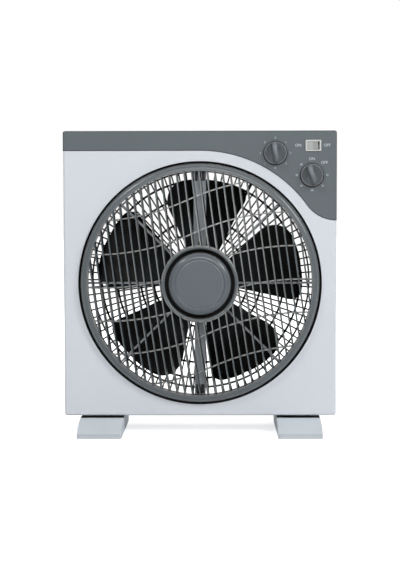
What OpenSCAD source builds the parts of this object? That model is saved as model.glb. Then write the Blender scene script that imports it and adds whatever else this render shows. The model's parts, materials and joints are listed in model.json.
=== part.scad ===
/* [Housing] */
// Width over the grey trim
body_w = 390; // [384:1:400]
// Height of the housing, from its underside to its top
body_h = 407; // [404:1:415]
// Depth of the housing, from its front face to its rear face
body_d = 110; // [110:1:116]
// Wall thickness of the housing mouldings
wall = 3; // [2.8:0.1:3.2]
// Radius of the four upright corners of the housing
corner_r = 4; // [3.5:0.5:5]
// Radius of the front and rear edges of the housing
edge_r = 3; // [2.5:0.5:3.5]
// Height of the housing's underside above the floor
foot_h = 25; // [24:1:30]

/* [Air opening] */
// Height of the fan axis above the underside of the housing
axis_h = 190; // [188:1:194]
// Radius of the front air opening
opening_r = 172.5; // [172:0.5:174]

/* [Grey trim] */
// Height of the trim strip along the top
strip_h = 28.5; // [27:0.5:30]
// Sweep of the trim's edge round the opening, from the top
trim_sweep = 54; // [52:1:56]
// How far the trim stands proud of the housing
trim_step = 0.5; // [0.4:0.1:0.6]

/* [Turning louvre] */
// Outer radius of the louvre grille
louvre_r = 170.2; // [169:0.1:170.4]
// Distance between neighbouring louvre bars
bar_pitch = 10.8; // [10.6:0.1:11]
// Thickness of a louvre bar
bar_t = 1.7; // [1.5:0.1:2]
// Tilt of the bars to the axis, which sets the air turning
bar_tilt = 7; // [5:1:9]
// Lean of the bars from upright when the grille is parked
lean = 8; // [0:1:45]
// Distance between neighbouring wavy ribs
rib_pitch = 48; // [46:1:50]
// Slope of a wavy rib as it crosses the centre line
rib_slope = 16.5; // [14:0.5:19]

/* [Fan] */
// Outer radius of the fan blades
blade_r = 148; // [145:1:151]
// Number of blades
blades = 5; // [3:1:6]
// Angle that one blade covers, seen from the front
blade_span = 54; // [48:1:57]

/* [Rear grille] */
// Number of radial ribs, every second one short
rear_ribs = 92; // [72:4:96]

/* [Hidden] */
$fn = 96;

// Colours
shell_white = [0.82, 0.84, 0.87];
trim_grey = [0.41, 0.45, 0.47];
louvre_grey = [0.42, 0.45, 0.47];
spider_grey = [0.55, 0.56, 0.56];
grille_black = [0.07, 0.07, 0.08];
blade_black = [0.10, 0.11, 0.12];
steel = [0.70, 0.71, 0.72];
copper = [0.72, 0.42, 0.25];
cream = [0.66, 0.67, 0.68];

// Main stations along the axis: z points at the user, and z = 0 is mid-depth
front_z = body_d / 2;
rear_z = -body_d / 2;
split_z = -10;
foot_front = front_z + 55;
foot_back = rear_z - 7;
set_back = (foot_front + foot_back) / 2;
axis_y = foot_h + axis_h;
body_top = foot_h + body_h;
clear = 0.1;
over = 1;

// Trim outline: the arc round the opening meets the arc of the right-hand corner
trim_line = body_top - strip_h;
trim_arc = trim_line - axis_y;
corner_arc = 52.5;
corner_arc_at = [(trim_arc + corner_arc) * sin(trim_sweep),
                 axis_y + (trim_arc + corner_arc) * cos(trim_sweep)];
trim_return = 16;
rebate = 1.8;

// Front opening, its collar and its flange
collar_t = 3;
flange_z = front_z - 19;
flange_t = 2.5;
flange_in = 162;
spider_screw_r = 168;

// Rear opening and grille
rear_open_r = 179.6;
rear_rings = [70.7, 90.2, 124.9, 148.7];
rear_step_ring = 162.3;
rear_plate_r = 50;
rear_flange_r = 185;
rear_flange_z = rear_z + wall;
rear_flange_t = 2.4;
rear_rib_w = 2;
rear_rib_z = rear_z + 1;
rear_rib_d = 5.5;
rear_screw_r = 184;
rear_screw_angles = [20, 70, 110, 160, 200, 250, 290, 340];

// Housing screws: four in the corners and two at the height of the axis
boss_x = body_w / 2 - 15;
boss_side_x = body_w / 2 - 10.5;
boss_dy = 12;
housing_bosses = [[-boss_x, foot_h + boss_dy], [boss_x, foot_h + boss_dy],
                  [-boss_x, body_top - boss_dy], [boss_x, body_top - boss_dy],
                  [-boss_side_x, axis_y], [boss_side_x, axis_y]];
boss_r = 4.6;
screw_r = 1.7;
head_r = 3.2;

// Inside of the shells: the tongue of the rear one and the webs on the floor of the front one
tongue_d = 4;
floor_webs = [-120, -60, 60, 120];

// Cord inlet, low on the back
inlet_at = [150, foot_h + 26];
inlet_neck_r = 6;
inlet_bore_r = 3.3;

// Feet
foot_x = 141;
foot_w = 62;
foot_lip = 6;
foot_gap = 3.5;
foot_slope_back = front_z - 5;
foot_seat_front = front_z - 24;
foot_seat_back = rear_z + 4;
foot_screw_z = [22, -30];

// Controls: place of each one on the front face
speed_at = [107.5, 400];
timer_at = [159.5, 368.6];
rocker_at = [161.4, 410.6];
knob_r = 16;
knob_well_r = 17.1;
knob_well_z = front_z - 0.7;
knob_base_z = knob_well_z + 0.4;
knob_base_t = 5.6;
knob_rim = 1.2;
grip_h = 10.5;
grip_w = 7.5;
grip_bend = 34;
grip_end = 11.8;
spindle_r = 3;
neck_r = 4.5;
back_wall_z = front_z - wall;
bezel = [22, 15.6];
bezel_hole = [17.6, 11.6];
rocker_pivot_z = front_z - 5;
rocker_tip = 8;

// Motor, on the axis
shaft_r = 4;
run_fit = 0.03;
stator_z = [rear_z + 19, rear_z + 39];
bell_r = 42;
bell_front = rear_z + 51;
bell_back = rear_flange_z + rear_flange_t;
bolt_r = 1.9;
bolt_at = 37.8;
stator_r = 41;
rotor_r = 22;
slots = 16;
winding_r = [25, 33];

// Fan
hub_r = 37;
hub_z = [bell_front + 5.5, bell_front + 34];
hub_boss_r = 9;
blade_t = 2;
nut_h = 7.2;
blade_z = [bell_front + 6.5, bell_front + 32];
blade_park = 15.3;
lead_corner = 17;
trail_corner = 38;

// Spider and the small motor that turns the louvre
spider_z = flange_z + flange_t;
spider_d = 7;
spider_ring = [163.5, 171.8];
spider_hub_r = 53;
arm_w = 2.8;
upper_arm_w = 18;
lower_arm_w = 15.6;
arm_pocket = [146, 159];
gear_motor_r = 25;
gear_motor_z = [spider_z + 3, spider_z + 21];
gear_screw_x = 30;

// Louvre grille
louvre_back = front_z - 8;
louvre_front = front_z + 10;
louvre_in = 160;
louvre_skin = 2.4;
louvre_edge = 7;
bar_d = 12;
bars_each_side = 14;
hub_ring_r = 55;
hub_ring_in = 49.4;
brim_r = (hub_ring_r - hub_ring_in) / 2;
louvre_hub_front = front_z + 22;
dome_r = 962;
dome_top = louvre_front + 11.8;
hub_floor_z = gear_motor_z[1] + 3.5;
hub_trench_z = spider_z + spider_d + 2.5;
hub_t = 2.5;
cap_r = 44.5;
cap_front = front_z + 24;
cap_edge = 8;
cap_groove_r = 34.4;
rib_wave = 190;
rib_w = 1.8;
grille_shaft_r = 3.5;

// Leads, as points that each one passes
motor_lead_r = 2;
motor_lead_route = [[22.4, 38.8, -43.5], [30, 52, -46], [68.5, 128.9, -46], [73.7, 138.6, -40.6],
                    [83.6, 157.2, -28], [105, 185, 27.2]];
grille_lead_r = 1.5;
grille_lead_route = [[0, 27, 43.3], [0, 54.5, 43.3], [0, 61.5, 41.3], [0, 156, 41.3], [0, 158.6, 31.5],
                     [12, 178, 30], [66, 192, 24], [156, 197, 25]];

// Places a front view (x right, y up, z towards the user) in the product frame
module stand() {
    translate([0, set_back, 0]) rotate([90, 0, 0]) children();
}
// The same, with the origin on the fan axis
module on_axis() {
    stand() translate([0, axis_y, 0]) children();
}

// ---- shared shapes ----
module round_rect(w, h, r) {
    square([w - 2 * r, h], center = true);
    square([w, h - 2 * r], center = true);
    for (x = [-1, 1], y = [-1, 1])
        translate([x * (w / 2 - r), y * (h / 2 - r)]) circle(r, $fn = 48);
}
module slot2d(w, h) {
    square([w - h, h], center = true);
    for (x = [-1, 1]) translate([x * (w - h) / 2, 0]) circle(h / 2, $fn = 48);
}
// Side profile of the housing, with its two front corners round
module edge_profile(span, depth, r) {
    translate([-span / 2 + r, 0]) square([span - 2 * r, depth]);
    translate([-span / 2, 0]) square([span, depth - r]);
    for (x = [-1, 1]) translate([x * (span / 2 - r), depth - r]) circle(r, $fn = 48);
}
// Housing block between two stations, drawn in by inset, its front edges round
module block(z0, z1, inset, r) {
    w = body_w - 2 * inset;
    h = body_h + trim_step - 2 * inset;
    translate([0, body_top - inset - h / 2, z0]) intersection() {
        linear_extrude(z1 - z0) round_rect(w, h, max(corner_r - inset, 1));
        rotate([90, 0, 0]) linear_extrude(h + over, center = true)
            edge_profile(w, z1 - z0, r);
        rotate([90, 0, 90]) linear_extrude(w + over, center = true)
            edge_profile(h, z1 - z0, r);
    }
}
// The same block with its rear edges round
module rear_block(z0, z1, inset, r) {
    mirror([0, 0, 1]) block(-z1, -z0, inset, r);
}
module tube(r_out, r_in, z0, z1) {
    translate([0, 0, z0]) difference() {
        cylinder(r = r_out, h = z1 - z0);
        translate([0, 0, -over]) cylinder(r = r_in, h = z1 - z0 + 2 * over);
    }
}
module rod(r, z0, z1) {
    translate([0, 0, z0]) cylinder(r = r, h = z1 - z0);
}
// Pan-head screw pointing away from the user, its head on the plane z
module screw(z, length, r, head, head_t) {
    rod(r, z - length, z);
    rod(head, z, z + head_t);
}
module polar_copies(count, first = 0) {
    for (i = [0 : count - 1]) rotate(first + i * 360 / count) children();
}
// Points of an arc, from angle a0 to angle a1
function arc(at, r, a0, a1, steps) = [for (i = [0 : steps])
    at + r * [cos(a0 + (a1 - a0) * i / steps), sin(a0 + (a1 - a0) * i / steps)]];

// ---- housing ----
module trim_outline(gap) {
    far = body_w;
    polygon(concat(
        [[-far, trim_line + gap]],
        arc([0, axis_y], trim_arc + gap, 90, 90 - trim_sweep, 24),
        arc(corner_arc_at, corner_arc - gap, 270 - trim_sweep, 270, 16),
        [[far, corner_arc_at[1] - corner_arc + gap], [far, 2 * far], [-far, 2 * far]]));
}
// Region of the trim: a skin over the front face and its returns
module trim_skin(inset, front, gap, z0) {
    intersection() {
        difference() {
            block(z0, front, inset, edge_r);
            block(z0 - over, front_z - rebate, trim_step + rebate, edge_r);
        }
        translate([0, 0, z0 - over]) linear_extrude(body_d) trim_outline(gap);
    }
}
module control_holes(gap) {
    for (p = [speed_at, timer_at])
        translate([p[0], p[1], front_z - 10]) cylinder(r = neck_r + gap, h = 20);
    translate([rocker_at[0], rocker_at[1], front_z - 10]) linear_extrude(20)
        square([bezel_hole[0] + 3 + 2 * gap, bezel_hole[1] + 3 + 2 * gap], center = true);
}
module collar() {
    rotate_extrude() {
        translate([opening_r, flange_z]) square([collar_t, front_z - flange_z]);
        translate([opening_r + collar_t / 2, front_z]) circle(collar_t / 2, $fn = 32);
        translate([flange_in, flange_z])
            square([opening_r + collar_t - flange_in, flange_t]);
    }
}
module front_housing() color(shell_white) stand() difference() {
    union() {
        difference() {
            block(split_z, front_z, trim_step, edge_r);
            block(split_z - over, back_wall_z, trim_step + wall, 1);
            translate([0, axis_y, 0]) cylinder(r = opening_r + collar_t / 2, h = body_d);
        }
        translate([0, axis_y, 0]) collar();
        translate([0, axis_y, 0]) polar_copies(8, 22.5)
            translate([spider_screw_r, 0, 0]) rod(3.6, flange_z - 7, flange_z + over);
        for (p = housing_bosses) translate([p[0], p[1], 0]) rod(boss_r, split_z, back_wall_z + over);
        for (x = [-foot_x, foot_x]) translate([x, foot_h + 1, foot_screw_z[0]])
            rotate([-90, 0, 0]) cylinder(r = boss_r, h = 13);
        for (x = floor_webs) translate([x - 1, foot_h + 1, split_z + tongue_d + 0.5])
            cube([2, 8, back_wall_z - split_z - tongue_d + 0.5]);
    }
    difference() {
        trim_skin(trim_step - over, front_z + over, 0, front_z - trim_return);
        translate([0, axis_y, 0]) cylinder(r = opening_r + collar_t, h = body_d);
    }
    translate([0, axis_y, 0]) polar_copies(8, 22.5)
        translate([spider_screw_r, 0, 0]) rod(1.3, flange_z - 8, flange_z + 2 * flange_t);
    for (p = housing_bosses) translate([p[0], p[1], 0]) rod(screw_r, split_z - over, split_z + 16);
    for (x = [-foot_x, foot_x]) translate([x, foot_h - over, foot_screw_z[0]])
        rotate([-90, 0, 0]) cylinder(r = screw_r, h = 13);
    control_holes(clear);
}
module control_panel() color(trim_grey) stand() difference() {
    trim_skin(0, front_z + trim_step, 0.25, front_z - trim_return + 0.2);
    control_holes(clear);
    // shallow wells that the dials turn in
    for (p = [speed_at, timer_at]) translate([p[0], p[1], 0]) rod(knob_well_r, knob_well_z, front_z + over);
}
module handle_pocket(inset, depth) {
    translate([0, body_top - 18, rear_z - over]) linear_extrude(depth + over)
        slot2d(114 - 2 * inset, 27 - 2 * inset);
}
// Rim inside the wall, standing off it by gap
module tongue(z0, z1, gap) {
    w = body_w - 2 * (trim_step + wall);
    h = body_h - trim_step - 2 * wall;
    translate([0, foot_h + wall + h / 2, z0]) linear_extrude(z1 - z0) difference() {
        round_rect(w - 2 * gap, h - 2 * gap, 1);
        round_rect(w - 2.6, h - 2.6, 1);
    }
}
module rear_housing() color(shell_white) stand() difference() {
    union() {
        difference() {
            rear_block(rear_z, split_z, trim_step, edge_r);
            rear_block(rear_z + wall, split_z + over, trim_step + wall, 1);
            translate([0, axis_y, rear_z - over]) cylinder(r = rear_open_r, h = wall + 2 * over);
        }
        // tongue that slides inside the front shell
        tongue(split_z - 3, split_z, -1);
        tongue(split_z - 3, split_z + tongue_d, clear);
        for (p = housing_bosses) translate([p[0], p[1], 0]) rod(boss_r, rear_z + 1, split_z);
        for (x = [-foot_x, foot_x]) translate([x, foot_h + 1, foot_screw_z[1]])
            rotate([-90, 0, 0]) cylinder(r = boss_r, h = 13);
        intersection() {
            handle_pocket(0, 33);
            rear_block(rear_z, split_z, trim_step, edge_r);
        }
    }
    handle_pocket(2, 31);
    for (p = housing_bosses) translate([p[0], p[1], 0]) {
        rod(screw_r + clear, rear_z, split_z + over);
        rod(head_r + clear, rear_z - over, rear_z + 26);
    }
    for (a = rear_screw_angles) translate([0, axis_y, 0]) rotate(a)
        translate([rear_screw_r, 0, 0]) rod(screw_r + clear, rear_z - over, rear_z + wall + over);
    for (x = [-foot_x, foot_x]) translate([x, foot_h - over, foot_screw_z[1]])
        rotate([-90, 0, 0]) cylinder(r = screw_r, h = 13);
    translate([inlet_at[0], inlet_at[1], 0]) rod(inlet_neck_r + clear, rear_z - over, rear_z + wall + over);
}

// ---- cord inlet ----
module cord_inlet() color([0.1, 0.1, 0.1]) stand() translate([inlet_at[0], inlet_at[1], 0]) difference() {
    union() {
        rod(8.5, rear_z - 2, rear_z);
        rod(inlet_neck_r, rear_z - 1, rear_z + wall + 1);
        rod(8, rear_z + wall, rear_z + wall + 2.2);
    }
    rod(inlet_bore_r, rear_z - 4, rear_z + wall + 4);
}

// ---- rear grille ----
module rear_grille() color(grille_black) on_axis() difference() {
    union() {
        rotate_extrude() {
            translate([rear_open_r - 3.3, rear_z]) square([3, rear_flange_t + wall]);
            translate([rear_open_r - 3, rear_flange_z])
                square([rear_flange_r - rear_open_r + 3, rear_flange_t]);
            translate([rear_step_ring - 1, rear_rib_z]) square([2, rear_rib_d + 4]);
            translate([9.5, rear_z + 2]) square([rear_plate_r - 9.5, wall + rear_flange_t - 2]);
        }
        translate([0, 0, rear_rib_z]) linear_extrude(rear_rib_d) {
            for (r = rear_rings) difference() {
                circle(r + rear_rib_w / 2);
                circle(r - rear_rib_w / 2);
            }
            polar_copies(rear_ribs / 2) translate([rear_plate_r - 1, -rear_rib_w / 2])
                square([rear_open_r - 2 - rear_plate_r, rear_rib_w]);
            polar_copies(rear_ribs / 2, 360 / rear_ribs) translate([rear_rings[0], -rear_rib_w / 2])
                square([rear_open_r - 3 - rear_rings[0], rear_rib_w]);
        }
        for (a = rear_screw_angles) rotate(a) translate([rear_screw_r, 0, 0])
            rod(3.6, rear_flange_z, rear_flange_z + 10);
    }
    for (a = rear_screw_angles) rotate(a) translate([rear_screw_r, 0, 0])
        rod(screw_r, rear_flange_z - over, rear_flange_z + 9);
    polar_copies(4, 45) translate([bolt_at, 0, 0]) rod(bolt_r + clear, rear_z, 0);
    // notches round the housing's side bosses
    for (x = [-boss_side_x, boss_side_x]) translate([x, 0, 0]) rod(boss_r + 0.5, rear_z, 0);
}
module rear_grille_screws() color(steel) on_axis() for (a = rear_screw_angles) rotate(a)
    translate([rear_screw_r, 0, rear_z]) mirror([0, 0, 1]) screw(0, 9, screw_r, head_r, 2);

// ---- spider in front of the fan ----
module arm(w, z0, z1) {
    translate([spider_hub_r - 2, -w / 2, z0]) cube([spider_ring[0] - spider_hub_r + 4, w, z1 - z0]);
}
// Upright arm: a channel open at the back, with two pockets beside a rib at its outer end
module wide_arm(w, rib) difference() {
    pocket_w = (w - rib) / 2 - 2;
    arm(w, spider_z, spider_z + spider_d);
    translate([spider_hub_r + 1, 2 - w / 2, spider_z - over])
        cube([arm_pocket[0] - spider_hub_r - 3, w - 4, spider_d - 1]);
    for (side = [0, 1]) mirror([0, side, 0]) translate([arm_pocket[0], rib / 2, spider_z + 1.2])
        cube([arm_pocket[1] - arm_pocket[0], pocket_w, spider_d]);
}
module front_spider() color(spider_grey) on_axis() difference() {
    union() {
        tube(spider_ring[1], spider_ring[0], spider_z, spider_z + 3);
        difference() {
            tube(spider_hub_r, 8, spider_z, spider_z + 3);
            polar_copies(6, 0) translate([38, 0, 0]) rod(5, spider_z - over, spider_z + 4);
        }
        tube(spider_hub_r, spider_hub_r - 2.4, spider_z, spider_z + spider_d);
        for (a = [0, 45, 135, 180, 225, 315]) rotate(a) arm(arm_w, spider_z, spider_z + spider_d);
        rotate(90) wide_arm(upper_arm_w, 5.4);
        rotate(270) wide_arm(lower_arm_w, 2.4);
    }
    polar_copies(8, 22.5) translate([spider_screw_r, 0, 0]) rod(1.4, 0, front_z);
    for (x = [-gear_screw_x, gear_screw_x]) translate([x, 0, 0]) rod(1.4, 0, front_z);
    // way for the small motor's lead: into the upper arm, and along the rib at its end
    translate([-2.2, spider_hub_r - 4, spider_z + 3]) cube([4.4, 11, spider_d]);
    translate([-1.7, arm_pocket[0] - 3, spider_z - over])
        cube([3.4, spider_ring[0] - arm_pocket[0] + 2, spider_d - 1]);
}
module spider_screws() color(steel) on_axis() polar_copies(8, 22.5)
    translate([spider_screw_r, 0, 0]) screw(spider_z + 3, 9, 1.3, 2.8, 1.8);

// ---- feet ----
module foot_profile() {
    run = foot_front - foot_slope_back;
    rise = foot_h - foot_gap - foot_lip;
    arch_r = (run * run + rise * rise) / (2 * rise);
    top = foot_h - foot_gap;
    polygon(concat(
        [[foot_front, 0]],
        arc([foot_slope_back, top - arch_r], arch_r, 90 - asin(run / arch_r), 90, 16),
        [[foot_seat_front, top], [foot_seat_front, foot_h], [foot_seat_back, foot_h],
         [foot_seat_back, top]],
        arc([foot_back + 6, top - 6], 6, 90, 180, 6),
        [[foot_back, 0]]));
}
// Foot seen in product axes: x across, the profile runs from back to front
module foot(x) {
    translate([x, set_back, 0]) difference() {
        intersection() {
            rotate([90, 0, 90]) linear_extrude(foot_w, center = true) mirror([1, 0]) foot_profile();
            translate([0, -set_back, -over]) linear_extrude(foot_h + 2 * over)
                round_rect(foot_w, foot_front - foot_back, 2.5);
        }
        for (z = foot_screw_z) translate([0, -z, -over]) {
            cylinder(r = head_r + 1, h = foot_h - 5);
            cylinder(r = screw_r + clear, h = foot_h + 2 * over);
        }
    }
}
module foot_left() color(shell_white) foot(-foot_x);
module foot_right() color(shell_white) foot(foot_x);
module foot_screws() color(steel) for (x = [-foot_x, foot_x], z = foot_screw_z)
    translate([x, set_back - z, foot_h - 6]) mirror([0, 0, 1]) screw(0, 16, screw_r, head_r, 2.2);
module housing_screws() color(steel) stand() for (p = housing_bosses)
    translate([p[0], p[1], rear_z + 26]) mirror([0, 0, 1])
        screw(0, 32, screw_r, head_r, 2.2);

// ---- fan motor ----
// Motor end bell: a cup closed at z_face, with a boss for its bush and posts for the bolts
module bell(z_face, z_open, boss_z0, boss_z1) {
    lo = min(z_face, z_open);
    hi = max(z_face, z_open);
    room = z_face > z_open ? [lo - over, hi - 2] : [lo + 2, hi + over];
    difference() {
        union() {
            rod(bell_r, lo, hi);
            rod(10, boss_z0, boss_z1);
        }
        difference() {
            rod(bell_r - 2, room[0], room[1]);
            rod(10, boss_z0, boss_z1);
            polar_copies(4, 45) translate([bolt_at, 0, 0]) rod(3.5, lo, hi);
        }
        rod(7, boss_z0 + 1, boss_z1 - 1);
        rod(shaft_r + 0.6, boss_z0 - over, boss_z1 + over);
        polar_copies(8, 22.5) translate([27, 0, lo - over]) linear_extrude(hi - lo + 2 * over) slot2d(14, 5);
        polar_copies(4, 45) translate([bolt_at, 0, 0]) rod(bolt_r + clear, lo - over, hi + over);
    }
}
module motor_front_bell() color(steel) on_axis()
    bell(bell_front, stator_z[1], bell_front - 8, bell_front + 3);
module motor_rear_bell() color(steel) on_axis() bell(bell_back, stator_z[0], bell_back, bell_back + 9);
module bush(z0, z1) tube(7, shaft_r + run_fit, z0, z1);
module front_bush() color(copper) on_axis() bush(bell_front - 7, bell_front + 2);
module rear_bush() color(copper) on_axis() bush(bell_back + 1, bell_back + 8);
module stator_slot(grow, length) {
    translate([24.5 - grow, -2.4 - grow, 0]) cube([9 + 2 * grow, 4.8 + 2 * grow, length]);
}
module stator_core() color([0.45, 0.46, 0.48]) on_axis() difference() {
    tube(stator_r, rotor_r + 0.5, stator_z[0], stator_z[1]);
    translate([0, 0, stator_z[0] - over]) polar_copies(slots) {
        stator_slot(0.2, 22);
        translate([rotor_r - 1, -1, 0]) cube([4, 2, 22]);
    }
    polar_copies(4, 45) translate([bolt_at, 0, 0])
        rod(bolt_r + clear, stator_z[0] - over, stator_z[1] + over);
}
module stator_windings() color(copper) on_axis() {
    tube(winding_r[1], winding_r[0], stator_z[1] + 0.2, stator_z[1] + 8);
    tube(winding_r[1], winding_r[0], stator_z[0] - 7.5, stator_z[0] - 0.2);
    translate([0, 0, stator_z[0] - over]) polar_copies(slots)
        stator_slot(0, stator_z[1] - stator_z[0] + 2 * over);
}
module motor_bolts() color(steel) on_axis() polar_copies(4, 45) translate([bolt_at, 0, 0]) {
    screw(bell_front, bell_front - rear_z, bolt_r, 3.4, 2.2);
    rod(3.6, rear_z, rear_z + 2, $fn = 6);
}
module rotor() color([0.6, 0.61, 0.63]) on_axis() difference() {
    union() {
        rod(rotor_r, stator_z[0], stator_z[1]);
        rod(rotor_r - 2, stator_z[0] - 2, stator_z[1] + 2);
    }
    rod(shaft_r + 0.01, rear_z, front_z);
    for (z = [stator_z[0] - 3, stator_z[1] + 0.5]) tube(rotor_r - 6, shaft_r + 4, z, z + 2.5);
}
module motor_shaft() color(steel) on_axis() difference() {
    rod(shaft_r, bell_back + 1.2, hub_z[1] + nut_h - 1.2);
    translate([0, 0, hub_z[0] + 3]) rotate([90, 0, 0]) cylinder(r = 1.5, h = 30, center = true);
}
module drive_pin() color(steel) on_axis() translate([0, 0, hub_z[0] + 3])
    rotate([90, 0, 0]) cylinder(r = 1.49, h = 15, center = true);

// ---- fan ----
blade_stations = [hub_r - 1.2, 52, 70, 92, 112, 127, 137, 143.5, 147, blade_r];
blade_steps = 8;
// How much a rounded outer corner of radius c takes off the edge, as an angle
function corner_cut(r, c) = r <= blade_r - c ? 0 :
    (c - sqrt(max(c * c - pow(r - blade_r + c, 2), 0))) / r * 180 / PI;
// Angles of the leading and the trailing edge at a radius, clockwise edge first
function lead_angle(r) = -blade_span / 2 + 3 * (1 - r / blade_r) + corner_cut(r, lead_corner);
function trail_angle(r) = blade_span / 2 - 5 * (1 - r / blade_r) - corner_cut(r, trail_corner);
// Height of the blade between its edges, with a little camber
function blade_height(u) = blade_z[0] + (blade_z[1] - blade_z[0]) * (u + 0.35 * u * (1 - u));
function blade_point(r, u, dz) = let (a = lead_angle(r) + (trail_angle(r) - lead_angle(r)) * u)
    [r * cos(a), r * sin(a), blade_height(u) + dz];
module blade() {
    rows = len(blade_stations);
    cols = blade_steps + 1;
    side = rows * cols;
    points = [for (dz = [0, blade_t], r = blade_stations, j = [0 : blade_steps])
        blade_point(r, j / blade_steps, dz)];
    low = [for (i = [0 : rows - 2], j = [0 : blade_steps - 1]) let (a = i * cols + j)
        [a, a + cols, a + cols + 1]];
    low2 = [for (i = [0 : rows - 2], j = [0 : blade_steps - 1]) let (a = i * cols + j)
        [a, a + cols + 1, a + 1]];
    high = [for (f = concat(low, low2)) [f[0] + side, f[2] + side, f[1] + side]];
    // the rim: root, trailing edge, tip and leading edge, one after another
    rim = concat([for (j = [0 : blade_steps]) j],
                 [for (i = [1 : rows - 1]) i * cols + blade_steps],
                 [for (j = [1 : blade_steps]) (rows - 1) * cols + blade_steps - j],
                 [for (i = [1 : rows - 2]) (rows - 1 - i) * cols]);
    wall_a = [for (k = [0 : len(rim) - 1]) let (a = rim[k], b = rim[(k + 1) % len(rim)])
        [a, b, b + side]];
    wall_b = [for (k = [0 : len(rim) - 1]) let (a = rim[k], b = rim[(k + 1) % len(rim)])
        [a, b + side, a + side]];
    polyhedron(points, concat(low, low2, high, wall_a, wall_b), convexity = 4);
}
module fan_blade() color(blade_black) on_axis() difference() {
    union() {
        tube(hub_r, hub_r - 2.4, hub_z[0], hub_z[1] - 1);
        tube(hub_r - 1.2, shaft_r + 2, hub_z[1] - 3.5, hub_z[1]);
        rod(hub_boss_r, hub_z[0], hub_z[1]);
        polar_copies(blades, blade_park) translate([hub_boss_r - 1, -1, hub_z[0] + 5])
            cube([hub_r - hub_boss_r - 0.5, 2, hub_z[1] - hub_z[0] - 8]);
        polar_copies(blades, blade_park) blade();
    }
    rod(shaft_r + 0.02, 0, front_z + 20);
    translate([0, 0, hub_z[0] + 3]) rotate([90, 0, 0]) cylinder(r = 1.6, h = 15.2, center = true);
}
module spinner_nut() color(blade_black) on_axis() difference() {
    union() {
        rod(9, hub_z[1], hub_z[1] + 3);
        rod(7, hub_z[1] + 3, hub_z[1] + nut_h);
        polar_copies(6) translate([6, -1, hub_z[1]]) cube([6, 2, 5]);
    }
    rod(shaft_r + 0.02, hub_z[1] - over, hub_z[1] + nut_h - 1);
}

// ---- motor that turns the louvre ----
module grille_motor() color([0.75, 0.76, 0.78]) on_axis() difference() {
    union() {
        rod(gear_motor_r, gear_motor_z[0], gear_motor_z[1]);
        rod(6, gear_motor_z[1] - over, gear_motor_z[1] + 2);
        for (s = [-1, 1]) translate([0, 0, gear_motor_z[0]]) linear_extrude(1.2)
            translate([s * (gear_screw_x - 4), 0]) slot2d(20, 11);
    }
    rod(grille_shaft_r + run_fit, gear_motor_z[0] + 4, gear_motor_z[1] + 4);
    for (x = [-gear_screw_x, gear_screw_x]) translate([x, 0, 0]) rod(1.6, 0, front_z);
}
module grille_motor_screws() color(steel) on_axis() for (x = [-gear_screw_x, gear_screw_x])
    translate([x, 0, 0]) screw(gear_motor_z[0] + 1.2, 7, 1.35, 2.8, 1.8);
module grille_shaft() color(steel) on_axis()
    rod(grille_shaft_r, gear_motor_z[0] + 4.2, cap_front - 3);

// ---- louvre grille ----
// Section of the ring: a flat face, a round outer edge and a skirt into the opening
module ring_outline(inset) {
    r_edge = louvre_edge - inset;
    top = louvre_front - inset;
    out = louvre_r - inset;
    wide = out - louvre_in + over;
    high = top - louvre_back + inset;
    translate([louvre_in - over, louvre_back - inset]) {
        square([wide - r_edge, high]);
        square([wide, high - r_edge]);
    }
    translate([out - r_edge, top - r_edge]) circle(r_edge, $fn = 64);
}
module ring_section() {
    difference() {
        intersection() {
            ring_outline(0);
            translate([louvre_in, louvre_back]) square([20, 40]);
        }
        intersection() {
            ring_outline(louvre_skin);
            translate([louvre_in + louvre_skin, louvre_back - over]) square([20, 40]);
        }
    }
}
// Band between two spheres that share the axis: the room the bars fill
module dome_section(z_front, depth) {
    intersection() {
        difference() {
            translate([0, z_front - dome_r]) circle(dome_r, $fn = 720);
            translate([0, z_front - depth - dome_r]) circle(dome_r, $fn = 720);
        }
        translate([hub_ring_in + 2, 0]) square([louvre_in - hub_ring_in - 0.8, front_z + 40]);
    }
}
// One half of a wavy rib, an arc that starts on the centre line
module half_rib(y, turn) {
    r = rib_wave / 2 / sin(rib_slope);
    translate([0, y]) rotate(turn) intersection() {
        translate([rib_wave / 2, -r * cos(rib_slope)]) difference() {
            circle(r + rib_w / 2, $fn = 240);
            circle(r - rib_w / 2, $fn = 240);
        }
        translate([0, -30]) square([louvre_in + 3, 60]);
    }
}
module louvre_bars() {
    intersection() {
        for (i = [-bars_each_side : bars_each_side])
            let (half = sqrt(pow(louvre_in + 1, 2) - pow(i * bar_pitch, 2)))
            translate([i * bar_pitch, 0, front_z + 4]) rotate([0, -bar_tilt, 0])
                cube([bar_t, 2 * half, 50], center = true);
        rotate_extrude() dome_section(dome_top, bar_d);
    }
    for (k = [-2.5 : 2.5], turn = [0, 180]) intersection() {
        translate([0, 0, front_z - 15]) linear_extrude(50) half_rib(k * rib_pitch, turn);
        rotate_extrude() dome_section(dome_top - 1.2, bar_d - 4);
    }
}
module louvre_grille() color(louvre_grey) on_axis() rotate(lean) difference() {
    union() {
        louvre_bars();
        rotate_extrude() {
            ring_section();
            // bowl of the hub: its wall, with a round brim, a trench, its floor and its boss
            translate([hub_ring_in, hub_trench_z])
                square([hub_ring_r - hub_ring_in, louvre_hub_front - hub_trench_z - brim_r]);
            translate([hub_ring_in + brim_r, louvre_hub_front - brim_r]) circle(brim_r, $fn = 32);
            translate([cap_r - hub_t, hub_trench_z]) square([hub_ring_in - cap_r + 2 * hub_t, hub_t]);
            translate([cap_r - hub_t, hub_trench_z]) square([hub_t, hub_floor_z + hub_t - hub_trench_z]);
            translate([6, hub_floor_z]) square([cap_r - 6, hub_t]);
            translate([grille_shaft_r + 1, hub_floor_z]) square([4.5, 5]);
        }
    }
    rod(grille_shaft_r + 0.02, 0, front_z + 40);
}
module louvre_nut() color(steel) on_axis() difference() {
    rod(6.5, hub_floor_z + 5, hub_floor_z + 8.5, $fn = 6);
    rod(grille_shaft_r + 0.02, hub_floor_z, front_z + 40);
}
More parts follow.
